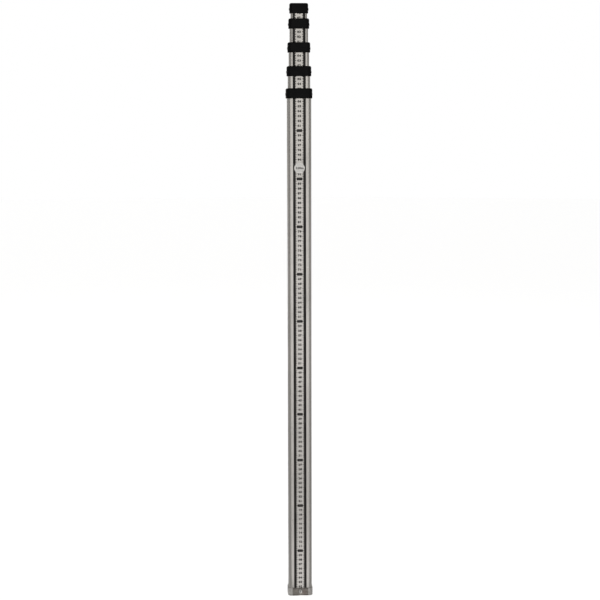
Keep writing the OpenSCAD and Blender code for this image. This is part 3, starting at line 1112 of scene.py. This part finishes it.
class STAFF_OT_stage(Operator):
    """Sets the floor, the studio light and the camera at the photo's viewing angle"""

    bl_idname = "staff.stage"
    bl_label = "Stage"

    def execute(self, context):
        front_light_group()
        self.floor(context)
        self.light(context)
        self.camera(context)
        return {"FINISHED"}

    def floor(self, context):
        """A round floor, white to the camera, whose glow stands for a studio's bounced light."""
        bm = bmesh.new()
        radius, below = context.scene.staff_stage.floor_size, Matrix.Translation((0, 0, -0.3 * MM))
        bmesh.ops.create_circle(
            bm, cap_ends=True, radius=radius, segments=FLOOR_STEPS, matrix=below
        )
        mesh = mesh_of(bm, "floor")
        paint = {"Base_Color": (0.62, 0.62, 0.61, 1), "Roughness": 0.85}
        tree, shader = new_material("Pale floor", 0.0, Specular_IOR_Level=0.2, **paint)
        ray = node(tree, "ShaderNodeLightPath").outputs["Is Camera Ray"]
        link(tree, mix_colour(tree, ray, (1, 0.985, 1), (1, 1, 1)), shader, "Emission Color")
        place = coordinates(tree)
        away = vector_maths(tree, "LENGTH", place)
        beside = remap(tree, away, 1.0, 6.0, 0.36, 0.45)
        lit = use_group(tree, "Front light", Vector=place, Beside=beside)["Level"]
        foot = remap(tree, away, 0.15, 0.6, 0.88, 0.65)
        near = remap(tree, away, 1.4, 3.4, foot, 1.0)
        glow = remap(tree, ray, 0.0, 1.0, maths(tree, "MULTIPLY", lit, near), 0.9)
        link(tree, glow, shader, "Emission Strength")
        mesh.materials.append(bpy.data.materials["Pale floor"])
        floor = add_object("floor", mesh)

    def light(self, context):
        """A soft studio, brightest straight in front and behind, with two lamps."""
        context.scene.view_settings.view_transform = "Standard"
        world = bpy.data.worlds.new("Studio")
        context.scene.world = world
        world.use_nodes = True
        tree = world.node_tree
        tree.nodes.clear()
        ray = node(tree, "ShaderNodeLightPath").outputs["Is Camera Ray"]
        way = coordinates(tree, "Generated")
        lit = use_group(tree, "Front light", Vector=way)["Level"]
        height = node(tree, "ShaderNodeSeparateXYZ", _0=way).outputs["Z"]
        level = maths(tree, "MULTIPLY", lit, remap(tree, height, 0.2, 0.7, 1.0, 0.12))
        soft = node(tree, "ShaderNodeBackground", Color=(1.0, 0.985, 0.965, 1), Strength=level)
        plain = node(tree, "ShaderNodeBackground", Color=(1, 1, 1, 1), Strength=1.0)
        both = node(tree, "ShaderNodeMixShader", _0=ray, _1=soft.outputs[0], _2=plain.outputs[0])
        link(tree, both.outputs[0], tree.nodes.new("ShaderNodeOutputWorld"), "Surface")
        self.soft_box("key", (-0.3, -2.6, 2.6), (0, -0.9, 0.2), 1.8, 12)
        self.soft_box("fill", (0.3, 2.6, 2.6), (0, 0.9, 0.2), 1.8, 12)

    def soft_box(self, name, place, aim, size, power):
        """A square lamp at a place, turned to what it aims at."""
        lamp = bpy.data.lights.new(name, "AREA")
        lamp.shape = "SQUARE"
        lamp.size = size
        lamp.energy = power
        light = add_object(name, lamp)
        light.location = place
        light.rotation_mode = "QUATERNION"
        light.rotation_quaternion = (Vector(aim) - Vector(place)).to_track_quat("-Z", "Y")

    def camera(self, context):
        stage = context.scene.staff_stage
        reach = stage.camera_distance + SECTIONS[0].depth / 2
        lens = bpy.data.cameras.new("camera")
        lens.lens = stage.focal_length
        lens.sensor_width = SENSOR_WIDTH
        lens.clip_start, lens.clip_end = 0.05, 60
        camera = add_object("camera", lens)
        side = stage.camera_side
        place = (-math.sin(side) * reach, -math.cos(side) * reach, stage.camera_height)
        camera.matrix_world = (
            Matrix.Translation(place)
            @ Matrix.Rotation(-side - stage.camera_turn, 4, "Z")
            @ Matrix.Rotation(math.pi / 2 - stage.camera_pitch, 4, "X")
            @ Matrix.Rotation(stage.camera_roll, 4, "Z")
        )
        context.scene.camera = camera


OPERATORS = (
    STAFF_OT_finishes,
    STAFF_OT_tubes,
    STAFF_OT_collars,
    STAFF_OT_top_cap,
    STAFF_OT_screws,
    STAFF_OT_shoe,
    STAFF_OT_inner_parts,
    STAFF_OT_millimetre_face,
    STAFF_OT_block_face,
    STAFF_OT_badge,
    STAFF_OT_stage,
)


class STAFF_PT_sidebar(Panel):
    """Lists the staff's operators in the order in which they are run"""

    bl_idname = "STAFF_PT_sidebar"
    bl_label = "Leveling staff"
    bl_space_type = "VIEW_3D"
    bl_region_type = "UI"
    bl_category = "Staff"

    def draw(self, context):
        for operator in OPERATORS:
            self.layout.operator(operator.bl_idname)


PROPERTIES = {
    "staff_body": StaffBodyProps,
    "staff_print": StaffPrintProps,
    "staff_finish": StaffFinishProps,
    "staff_stage": StaffStageProps,
}
CLASSES = (*PROPERTIES.values(), *OPERATORS, STAFF_PT_sidebar)


def register():
    for kind in CLASSES:
        bpy.utils.register_class(kind)
    for name, group in PROPERTIES.items():
        setattr(bpy.types.Scene, name, PointerProperty(type=group))


def unregister():
    for name in PROPERTIES:
        delattr(bpy.types.Scene, name)
    for kind in reversed(CLASSES):
        bpy.utils.unregister_class(kind)


def main():
    register()
    bpy.ops.staff.stage()
    bpy.ops.staff.finishes()
    bpy.ops.staff.tubes()
    bpy.ops.staff.collars()
    bpy.ops.staff.top_cap()
    bpy.ops.staff.screws()
    bpy.ops.staff.shoe()
    bpy.ops.staff.inner_parts()
    bpy.ops.staff.millimetre_face()
    bpy.ops.staff.block_face()
    bpy.ops.staff.badge()


if __name__ == "__main__":
    main()
